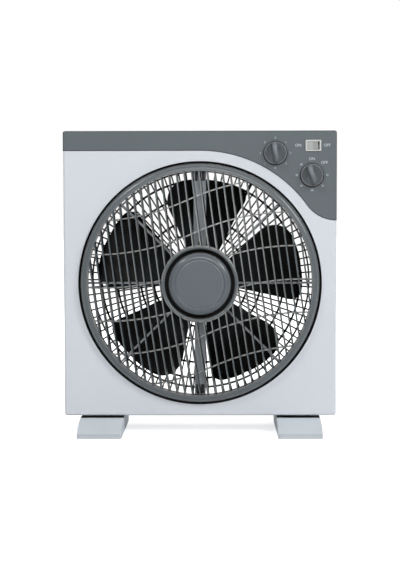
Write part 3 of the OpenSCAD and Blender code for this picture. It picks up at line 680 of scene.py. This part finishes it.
# ---- operators ----
class FAN_OT_studio(bpy.types.Operator):
    """Adds the floor, the lamps, the room light and the camera"""
    bl_idname = "fan.studio"
    bl_label = "Studio"

    TARGET = Vector((0.0, 0.0, 0.22))
    FLOOR_RADIUS = 14.0
    FLOOR_INNER = 2.0
    CAMERA_AT = (0.0234, -1.97613, 0.31769)
    CAMERA_TURN = (90 - 3.0954, 0.1155, 0.6804)  # degrees

    def execute(self, context):
        studio = context.scene.fan_studio
        context.scene.view_settings.view_transform = "Standard"
        self.floor()
        self.room(context, studio)
        self.lamp("lamp_right", self.around(54, 56, 2.6), studio.key_power, 0.62)
        self.lamp("lamp_left", self.around(-38, 58, 2.6), studio.side_power, 0.42)
        self.lamp("lamp_front", self.around(15, 17, 2.9), studio.front_power, 1.2)
        self.lamp("lamp_back", Vector((0.3, 2.2, 1.9)), studio.back_power, 1.4)
        self.camera(context, studio)
        return {"FINISHED"}

    def rays(self, tree):
        """1 for mirrored rays, and 1 for what the camera sees directly or through glass."""
        path = add_node(tree, "ShaderNodeLightPath")
        seen = larger(Value(path, "Is Camera Ray"), Value(path, "Is Transmission Ray"))
        return Value(path, "Is Glossy Ray"), seen

    def floor(self):
        """A wide disc that takes soft light but is white to the camera."""
        floor = primitive("circle", "floor", vertices=96, radius=self.FLOOR_RADIUS,
                          fill_type="NGON")
        with edit_mode():
            bpy.ops.mesh.select_all(action="SELECT")
            bpy.ops.mesh.inset(thickness=self.FLOOR_RADIUS - self.FLOOR_INNER)
        material, shader, place = new_material("studio_floor")
        mirrored, seen = self.rays(place.tree)
        seen = larger(seen, mirrored * 0.3)
        far = ramp(vector_maths("LENGTH", place), 0.35, 0.9, 0.62, 1.0)
        mottle = ramp(noise(place, 2.0, 3.0), 0.3, 0.7, 0.86, 0.9)
        feed(shader, {"Base Color": mix(1.0, grey(1), mottle, "MULTIPLY"), "Roughness": 0.9,
                      "Specular IOR Level": 0.1, "Emission Color": mix(seen, grey(0), grey(1)),
                      "Emission Strength": seen * far})
        paint(floor, material)

    def room(self, context, studio):
        """Even light from all round, white to the camera."""
        world = bpy.data.worlds.new("room")
        context.scene.world = world
        world.use_nodes = True
        tree = world.node_tree
        tree.nodes.clear()
        mirrored, seen = self.rays(tree)
        level = larger(mirrored * 0.25 + studio.fill, seen)
        even = add_node(tree, "ShaderNodeBackground", {"Color": grey(1), "Strength": level})
        add_node(tree, "ShaderNodeOutputWorld", {"Surface": Value(even)})

    def around(self, clock, lean, distance):
        """A place in front of the target, clock degrees from upright and lean degrees off
        the fan's axis."""
        clock, lean = math.radians(clock), math.radians(lean)
        way = Vector((math.sin(lean) * math.sin(clock), -math.cos(lean),
                      math.sin(lean) * math.cos(clock)))
        return self.TARGET + way * distance

    def lamp(self, name, place, power, size):
        data = bpy.data.lights.new(name, "AREA")
        data.energy = power
        data.size = size
        lamp = bpy.data.objects.new(name, data)
        lamp.location = place
        lamp.rotation_euler = (self.TARGET - place).to_track_quat("-Z", "Y").to_euler()
        bpy.context.scene.collection.objects.link(lamp)

    def camera(self, context, studio):
        data = bpy.data.cameras.new("camera")
        data.lens = studio.focal
        data.clip_end = 100.0
        camera = bpy.data.objects.new("camera", data)
        camera.location = self.CAMERA_AT
        camera.rotation_euler = [math.radians(angle) for angle in self.CAMERA_TURN]
        context.scene.collection.objects.link(camera)
        context.scene.camera = camera


class FAN_OT_finishes(bpy.types.Operator):
    """Gives every CAD part its moulded, metal or rubber finish"""
    bl_idname = "fan.finishes"
    bl_label = "Finishes"

    def execute(self, context):
        look = context.scene.fan_finish
        self.housing(look)
        self.grilles(look)
        self.controls(look)
        self.inner_parts()
        return {"FINISHED"}

    def housing(self, look):
        low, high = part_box("rear_housing")
        panel_low, panel_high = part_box("control_panel")
        # Painted shade darkens the inside of the round opening.
        dress(["front_housing", "rear_housing"], "shell_white", look.shell, 0.6, gleam=0.3,
              grain=1100, depth=0.03, variation=0.012, dust=0.35, wear_lift=0.4,
              wear=(Vector((low.x, panel_face, low.z)), high),
              shades=[parting_line(low.y + TONGUE),
                      painted_gap_shade(0.0, OPENING_RADIUS, panel_face - 3 * MM)])
        dress(["control_panel"], "trim_grey", look.trim, 0.5, grain=1100, depth=0.04,
              variation=0.02, dust=0.35, wear=(panel_low, Vector((high.x, high.y, panel_high.z))),
              shades=[trim_shades])
        for foot in ("foot_left", "foot_right"):
            dress([foot], foot + "_white", look.foot, 0.45, grain=1100, depth=0.03,
                  variation=0.015, dust=0.3, wear=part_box(foot), wear_lift=0.3,
                  shades=[foot_shades(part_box(foot)[0].y)])

    def grilles(self, look):
        low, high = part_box("louvre_grille")
        ring, hub_front = high.x, low.y
        # Painted shade on the bars' deep flanks, in the gap round the ring and in the hub's trench,
        # and a painted highlight on the ribs' crests.
        dress(["louvre_grille"], "louvre_grey", look.louvre, 0.25, variation=0.02, depth=0.01,
              dust=0.4, rims=[(axis_at, ring - 3 * MM), (axis_at, 54 * MM)],
              shades=[bar_shades(look.rib_highlight, hub_front),
                      painted_gap_shade(ring - 0.7 * MM, ring + 5 * MM, panel_face + 0.5 * MM),
                      painted_gap_shade(*HUB_TRENCH, hub_front + 3 * MM)])
        low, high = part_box("hub_cap")
        # Painted shade darkens the cap's deep side wall.
        dress(["hub_cap"], "cap_grey", look.cap, 0.25, gleam=0.55, variation=0.02, depth=0.01,
              dust=0.2, rims=[(axis_at, high.x - 2 * MM), (axis_at, 33 * MM)],
              shades=[painted_gap_shade(high.x - 0.6 * MM, high.x + MM, low.y + 9 * MM)])
        # Painted shade darkens the blind pockets of the arms.
        dress(["front_spider"], "spider_grey", look.spider, 0.42, variation=0.04, dust=0.1,
              shades=[pocket_shade(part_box("front_spider")[0].y)])
        dress(["rear_grille"], "grille_black", look.rear, 0.42, gleam=0.12, variation=0.06,
              depth=0.015, dust=0.1, rims=[(axis_at, 178 * MM), (axis_at, 50 * MM)],
              wear_lift=0.08, shades=[tinted_ring(look.step_ring, *STEP_RING)])
        # Painted light makes the blades paler near the hub.
        dress(["fan_blade", "spinner_nut"], "blade_black", look.blade, 0.3, gleam=0.1,
              variation=0.05, depth=0.006, dust=0.08,
              shades=[tinted_ring(look.blade_root_light, 0.0, 88 * MM, 22 * MM)])

    def controls(self, look):
        for dial, centre in (("speed", speed_at), ("timer", timer_at)):
            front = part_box(dial + "_knob")[0].y
            # Painted highlight on the crest of each grip; the pale rim is wear and a painted
            # highlight.
            dress([dial + "_knob"], dial + "_knob_grey", look.knob, 0.4, gleam=0.45,
                  variation=0.02, depth=0.012, dust=0.1, rims=[(centre, 15.0 * MM)],
                  wear_lift=0.5, shades=[painted_crest_highlight(look.crest_highlight, front, centre)])
        dress(["rocker_button"], "rocker_pale", look.rocker, 0.3, variation=0.015, depth=0.008,
              wear=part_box("rocker_button"), wear_lift=0.5)
        dress(["grille_switch"], "bezel_pale", look.bezel, 0.33, variation=0.015, depth=0.008,
              wear=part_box("grille_switch"), wear_lift=0.5)

    def inner_parts(self):
        dress(["foot_screws", "housing_screws", "rear_grille_screws", "spider_screws",
               "motor_bolts", "grille_motor_screws", "louvre_nut"],
              "screw_zinc", (0.70, 0.71, 0.70), 0.32, metal=1.0, grain=400, variation=0.08)
        dress(["motor_shaft", "drive_pin", "grille_shaft", "speed_spindle", "timer_spindle"],
              "shaft_steel", (0.72, 0.73, 0.74), 0.2, metal=1.0, grain=900, depth=0.01,
              variation=0.05)
        dress(["motor_front_bell", "motor_rear_bell", "grille_motor", "rotor"],
              "cast_aluminium", (0.66, 0.67, 0.69), 0.45, metal=1.0, grain=500, depth=0.08,
              variation=0.08)
        dress(["stator_core"], "lamination_steel", (0.45, 0.46, 0.48), 0.42, metal=1.0,
              variation=0.05, shades=[bands("Y", 100, 0.5)])
        dress(["stator_windings"], "copper_wire", (0.76, 0.42, 0.24), 0.3, metal=1.0,
              variation=0.08, shades=[bands("Z", 80, 0.6)])
        dress(["front_bush", "rear_bush"], "bush_bronze", (0.70, 0.52, 0.33), 0.4, metal=1.0,
              grain=700, depth=0.03, variation=0.08)
        dress(["speed_switch", "timer_body"], "switch_case", (0.76, 0.74, 0.69), 0.5)
        dress(["capacitor"], "capacitor_case", (0.90, 0.90, 0.88), variation=0.02)
        dress(["grille_motor_lead", "motor_lead", "cord_inlet"], "lead_black", (0.10, 0.10, 0.10),
              0.6, grain=700, depth=0.05, variation=0.06)


class FAN_OT_markings(bpy.types.Operator):
    """Prints the numerals and words on the trim"""
    bl_idname = "fan.markings"
    bl_label = "Dial markings"

    CLICK = 45  # degrees between two numerals
    ON_REACH = 1.07  # a word's distance from the dial, as a share of the numerals'
    OFF_REACH = 1.17
    ROCKER_WORDS = (("ON", -21.5 * MM), ("OFF", 19.6 * MM))
    ROCKER_LIFT = 0.2 * MM

    def execute(self, context):
        sizes = context.scene.fan_markings
        numeral, word = sizes.numeral_height, sizes.word_height
        ink = finish("marking_ink", context.scene.fan_finish.marking, 0.5, grain=2500, depth=0.01)
        speed = [(str(step % 4), numeral, step, 1.0) for step in range(8)]
        timer = [("ON", word, 0, self.ON_REACH), ("OFF", word, 1, self.OFF_REACH)]
        timer += [(str(10 * step), numeral, step + 1, 1.0) for step in range(1, 7)]
        for title, labels, centre in (("speed_numerals", speed, speed_at),
                                      ("timer_numerals", timer, timer_at)):
            letters = []
            for text, size, click, reach in labels:
                way = math.radians(self.CLICK * click)
                offset = Vector((math.sin(way), 0, math.cos(way))) * sizes.ring_radius * reach
                letters.append(self.word(text, size, centre + offset, sizes.ink))
            self.settle(join(letters, title), ink)
        words = [self.word(text, word, rocker_at + Vector((x, 0, self.ROCKER_LIFT)), sizes.ink)
                 for text, x in self.ROCKER_WORDS]
        self.settle(join(words, "switch_words"), ink)
        return {"FINISHED"}

    def word(self, text, size, place, ink):
        """Raised letters on the face of the trim."""
        clear_selection()
        bpy.ops.object.text_add()
        letters = bpy.context.object.data
        letters.body = text
        letters.size = size
        letters.align_x = "CENTER"
        letters.align_y = "CENTER"
        letters.offset = size * 0.012
        letters.extrude = ink
        letters.resolution_u = 5
        bpy.ops.object.convert(target="MESH")
        return move_mesh(tidy_faces(bpy.context.object), at(place, panel_face))

    def settle(self, piece, material):
        paint(piece, material)
        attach(piece, "housing")


class FAN_OT_blades(bpy.types.Operator):
    """Builds the twisted blades and their hub with rounded edges"""
    bl_idname = "fan.blades"
    bl_label = "Fan blades"

    ROWS, COLUMNS = 28, 20
    INNER_ROWS = 0.45  # share of the rows inside the trailing corner
    SET_IN = 1.2 * MM  # how far a blade's root goes into the hub
    BACK_GAP = 1 * MM  # from the hub's back edge to a blade's
    RISE = 25.5 * MM  # from a blade's trailing edge to its leading edge
    CAMBER = 0.35
    LEAD_SWEEP = math.radians(3)
    TRAIL_SWEEP = math.radians(5)
    EDGE_ROUND = 0.7 * MM

    HUB_DEPTH = 28.5 * MM
    HUB_FACE = 3.5 * MM
    HUB_WALL = 2.4 * MM
    HUB_ROUND = 1.5 * MM
    BOSS_RADIUS = 9 * MM
    WEB_SIZE = (27 * MM, 2 * MM, 20 * MM)
    WEB_AT = (22 * MM, 0, 0)

    def execute(self, context):
        self.size = context.scene.fan_blades
        self.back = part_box("fan_blade")[1].y
        first = self.blade()
        parts = [self.hub()]
        for turn in self.turns():
            spin = (Matrix.Translation(axis_at) @ Matrix.Rotation(-turn, 4, "Y")
                    @ Matrix.Translation(-axis_at))
            parts.append(copy_of(first, spin, "blade_copy"))
        remove(first)
        blades = join(parts, "smooth_blades")
        dress_like(blades, "fan_blade", 40)
        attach(blades, "fan")
        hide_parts("fan_blade")
        return {"FINISHED"}

    def turns(self):
        """Angles of the parked blades, anticlockwise from the right."""
        count = self.size.count
        return [self.size.park + 2 * math.pi * step / count for step in range(count)]

    def corner_cut(self, radius, corner):
        """Angle that a round corner takes off a blade's edge at a radius."""
        inward = radius - self.size.tip_radius + corner
        if inward <= 0:
            return 0.0
        return (corner - math.sqrt(max(corner ** 2 - inward ** 2, 0.0))) / radius

    def blade(self):
        """A grid bent to a blade's edges and pitch, thickened and rounded."""
        size = self.size
        tip = size.tip_radius
        root = size.hub_radius - self.SET_IN
        bend = tip - size.trail_corner
        sheet = primitive("grid", "blade", x_subdivisions=self.ROWS, y_subdivisions=self.COLUMNS,
                          size=2)
        for vertex in sheet.data.vertices:
            along, u = (vertex.co.x + 1) / 2, (vertex.co.y + 1) / 2
            if along < self.INNER_ROWS:
                radius = root + (bend - root) * along / self.INNER_ROWS
            else:
                swing = (along - self.INNER_ROWS) / (1 - self.INNER_ROWS) * math.pi / 2
                radius = bend + (tip - bend) * math.sin(swing)
            inner = 1 - radius / tip
            lead = (-size.span / 2 + self.LEAD_SWEEP * inner
                    + self.corner_cut(radius, size.lead_corner))
            trail = (size.span / 2 - self.TRAIL_SWEEP * inner
                     - self.corner_cut(radius, size.trail_corner))
            angle = lead + (trail - lead) * u
            height = self.RISE * (u + self.CAMBER * u * (1 - u)) + size.thickness / 2
            vertex.co = Vector((axis_at.x + radius * math.cos(angle),
                                self.back - self.BACK_GAP - height,
                                axis_at.z + radius * math.sin(angle)))
        thick = sheet.modifiers.new("thick", "SOLIDIFY")
        thick.thickness = size.thickness
        thick.offset = 0.0
        soft = sheet.modifiers.new("soft", "BEVEL")
        soft.width = self.EDGE_ROUND
        soft.segments = 2
        soft.limit_method = "ANGLE"
        soft.angle_limit = math.radians(50)
        apply_modifiers(sheet)
        return tidy_faces(sheet)

    def hub(self):
        """A cup that opens to the back, with a boss and a web behind each blade."""
        radius, depth = self.size.hub_radius, self.HUB_DEPTH
        hollow = depth - self.HUB_FACE
        cup = primitive("cylinder", "hub", vertices=96, radius=radius, depth=depth)
        with edit_mode():
            round_top(cup, depth / 2, self.HUB_ROUND, 3)
            inset_faces(cup, -1, self.HUB_WALL)
            extrude(hollow)
            bpy.ops.mesh.inset(thickness=radius - self.HUB_WALL - self.BOSS_RADIUS)
            extrude(-hollow)
        webs = [move_mesh(block("web", self.WEB_SIZE),
                          Matrix.Rotation(turn, 4, "Z") @ Matrix.Translation(self.WEB_AT))
                for turn in self.turns()]
        hub = tidy_faces(join([cup, *webs], "hub"))
        return move_mesh(hub, at(axis_at, self.back - depth / 2))


class FAN_OT_dials(bpy.types.Operator):
    """Builds the dials with a round rim and a crowned, curved grip"""
    bl_idname = "fan.dials"
    bl_label = "Dials"

    DISC = 5.6 * MM  # thickness of the disc, depth of its dish and round of its rim
    DISH = 1.2 * MM
    RIM_ROUND = 0.9 * MM
    GRIP_FOOT = 4.2 * MM  # where the grip starts, inside the disc
    END_DROP = 0.14  # how much lower the grip's ends are than its middle

    def execute(self, context):
        self.size = context.scene.fan_dials
        for dial, centre, turn in (("speed", speed_at, self.size.speed_turn),
                                   ("timer", timer_at, self.size.timer_turn)):
            node = dial + "_knob"
            piece = join([self.disc(), self.grip()], dial + "_dial_crowned")
            move_mesh(piece, at(centre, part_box(node)[1].y, turn))
            dress_like(piece, node, 42)
            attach(piece, dial + "_dial")
            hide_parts(node)
        return {"FINISHED"}

    def disc(self):
        """A dished disc with a round rim, and a recess at its back for the switch's neck."""
        size = self.size
        disc = bake_place(primitive("cylinder", "disc", vertices=96, radius=size.radius,
                                    depth=self.DISC, location=(0, 0, self.DISC / 2)))
        with edit_mode():
            inset_faces(disc, 1, size.rim)
            bpy.ops.transform.translate(value=(0, 0, -self.DISH))
            round_top(disc, self.DISC, self.RIM_ROUND, 4)
            inset_faces(disc, -1, size.radius - NECK_RADIUS)
            extrude(NECK_RECESS)
        return tidy_faces(disc)

    def grip(self):
        """A grid along two arcs that meet in the middle, with a crowned top and round ends."""
        size = self.size
        half, bend = size.grip_width / 2, size.bend
        arc = bend * math.asin((size.radius - size.rim / 2 - half) / bend)
        grip = primitive("grid", "grip", x_subdivisions=16, y_subdivisions=48, size=2)
        for vertex in grip.data.vertices:
            side, way = (math.sin(value * math.pi / 2) for value in vertex.co.xy)
            reach = abs(way) * (arc + half)
            swing = min(reach, arc) / bend
            beyond = max(reach - arc, 0.0)
            sign = 1 if way >= 0 else -1
            offset = side * math.sqrt(max(half ** 2 - beyond ** 2, 0.0)) * sign
            x = bend * (1 - math.cos(swing)) + beyond * math.sin(swing) + offset * math.cos(swing)
            y = bend * math.sin(swing) + beyond * math.cos(swing) - offset * math.sin(swing)
            crown = (1 - abs(side) ** 4) ** (1 / 4) * (1 - abs(way) ** 7) ** (1 / 3)
            height = size.grip_height * crown * (1 - self.END_DROP * way ** 2)
            vertex.co = Vector((x * sign, y * sign, self.GRIP_FOOT + height))
        with edit_mode():
            select_where(grip, edges=lambda edge: len(edge.link_faces) == 1)
            bpy.ops.mesh.edge_face_add()
        return tidy_faces(grip)


class FAN_OT_rings(bpy.types.Operator):
    """Rounds the ring ribs of the rear grille with a bead along each"""
    bl_idname = "fan.rings"
    bl_label = "Rear ring beads"

    BEAD_RADIUS = 1.6 * MM

    def execute(self, context):
        place = at(axis_at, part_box("rear_grille")[1].y - RING_DEPTH)
        beads = [move_mesh(primitive("torus", "bead", major_radius=radius, major_segments=192,
                                     minor_radius=self.BEAD_RADIUS, minor_segments=12), place)
                 for radius in REAR_RINGS]
        beads = join(beads, "rear_ring_beads")
        dress_like(beads, "rear_grille", 60)
        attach(beads, "housing")
        return {"FINISHED"}


class FAN_OT_screws(bpy.types.Operator):
    """Swaps the plain screws at the back for pan heads with a cross recess"""
    bl_idname = "fan.screws"
    bl_label = "Screws"

    POINT = 2 * MM  # length of the pointed end
    POINT_SHARE = 0.25  # its end's radius, as a share of the shank's
    HEAD_ROUND = 0.55  # share of a head's height that is rounded
    SLOT_WIDTH = 0.75 * MM
    SLOT_DEPTH = 1.1 * MM
    SLOT_LENGTH = 1.15  # as a share of the head's radius
    TURN = 37  # degrees from one screw's recess to the next one's
    HEAD_SPACE = 8 * MM  # points nearer than this belong to one head

    def execute(self, context):
        self.fit("rear_grille_screws", "rear_screws",
                 head=3.2 * MM, tall=2.0 * MM, shank=1.7 * MM, length=9.0 * MM)
        self.fit("housing_screws", "shell_screws",
                 head=3.2 * MM, tall=2.2 * MM, shank=1.7 * MM, length=32.0 * MM)
        return {"FINISHED"}

    def pan_screw(self, head, tall, shank, length):
        """A screw with its head up and the underside of the head on z = 0."""
        body = bake_place(primitive("cylinder", "screw", vertices=32, radius=head, depth=tall,
                                    location=(0, 0, tall / 2)))
        with edit_mode():
            round_top(body, tall, tall * self.HEAD_ROUND, 4)
            inset_faces(body, -1, head - shank)
            extrude(self.POINT - length)
            extrude(-self.POINT)
            bpy.ops.transform.resize(value=(self.POINT_SHARE, self.POINT_SHARE, 1.0))
        slot = block("cutter", (head * self.SLOT_LENGTH, self.SLOT_WIDTH, 2 * self.SLOT_DEPTH),
                     location=(0, 0, tall))
        cross = copy_of(slot, quarter_turn("Z"), "cross")
        for cutter in (slot, cross):
            cut = body.modifiers.new("cut", "BOOLEAN")
            cut.operation = "DIFFERENCE"
            cut.object = cutter
        apply_modifiers(body)
        remove(slot, cross)
        return body

    def fit(self, node, name, head, tall, shank, length):
        pattern = self.pan_screw(head, tall, shank, length)
        copies = []
        for number, place in enumerate(self.heads(node, tall)):
            turn = Matrix.Rotation(math.radians(self.TURN * number), 4, "Z")
            stand = Matrix.Translation(place) @ quarter_turn("X", -1) @ turn
            copies.append(copy_of(pattern, stand, "copy"))
        remove(pattern)
        screws = tidy_faces(join(copies, name))
        dress_like(screws, node, 30)
        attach(screws, "housing")
        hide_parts(node)

    def heads(self, node, tall):
        """Centres of the heads' undersides, from the CAD part's own corners."""
        points = [vertex.co for vertex in nodes[node].data.vertices]
        back = max(point.y for point in points)
        rim = [point for point in points if point.y > back - 1e-5]
        centres = []
        for point in rim:
            if any((centre - point).length < self.HEAD_SPACE for centre in centres):
                continue
            head = [other for other in rim if (other - point).length < self.HEAD_SPACE]
            x, z = ((min(side) + max(side)) / 2
                    for side in ([other.x for other in head], [other.z for other in head]))
            centres.append(Vector((x, back, z)))
        return [centre - Vector((0, tall, 0)) for centre in centres]


class FAN_PT_sidebar(bpy.types.Panel):
    """Settings and steps of the fan's finishes"""
    bl_label = "Box fan"
    bl_idname = "FAN_PT_sidebar"
    bl_space_type = "VIEW_3D"
    bl_region_type = "UI"
    bl_category = "Box fan"

    def draw(self, context):
        for name in SETTINGS:
            settings = getattr(context.scene, name)
            box = self.layout.box()
            for title in settings.__annotations__:
                box.prop(settings, title)
        for step in STEPS:
            self.layout.operator(step.bl_idname)


STEPS = (FAN_OT_studio, FAN_OT_finishes, FAN_OT_markings, FAN_OT_blades, FAN_OT_dials,
         FAN_OT_rings, FAN_OT_screws)
SETTINGS = {"fan_finish": FinishSettings, "fan_markings": MarkingSettings,
            "fan_blades": BladeSettings, "fan_dials": DialSettings, "fan_studio": StudioSettings}


def register():
    for name, kind in SETTINGS.items():
        bpy.utils.register_class(kind)
        setattr(bpy.types.Scene, name, PointerProperty(type=kind))
    for step in STEPS:
        bpy.utils.register_class(step)
    bpy.utils.register_class(FAN_PT_sidebar)


def unregister():
    bpy.utils.unregister_class(FAN_PT_sidebar)
    for step in reversed(STEPS):
        bpy.utils.unregister_class(step)
    for name, kind in reversed(SETTINGS.items()):
        delattr(bpy.types.Scene, name)
        bpy.utils.unregister_class(kind)


def main():
    register()
    for step in STEPS:
        area, name = step.bl_idname.split(".")
        if getattr(getattr(bpy.ops, area), name)() != {"FINISHED"}:
            raise RuntimeError(step.bl_label + " did not finish")


if __name__ == "__main__":
    main()
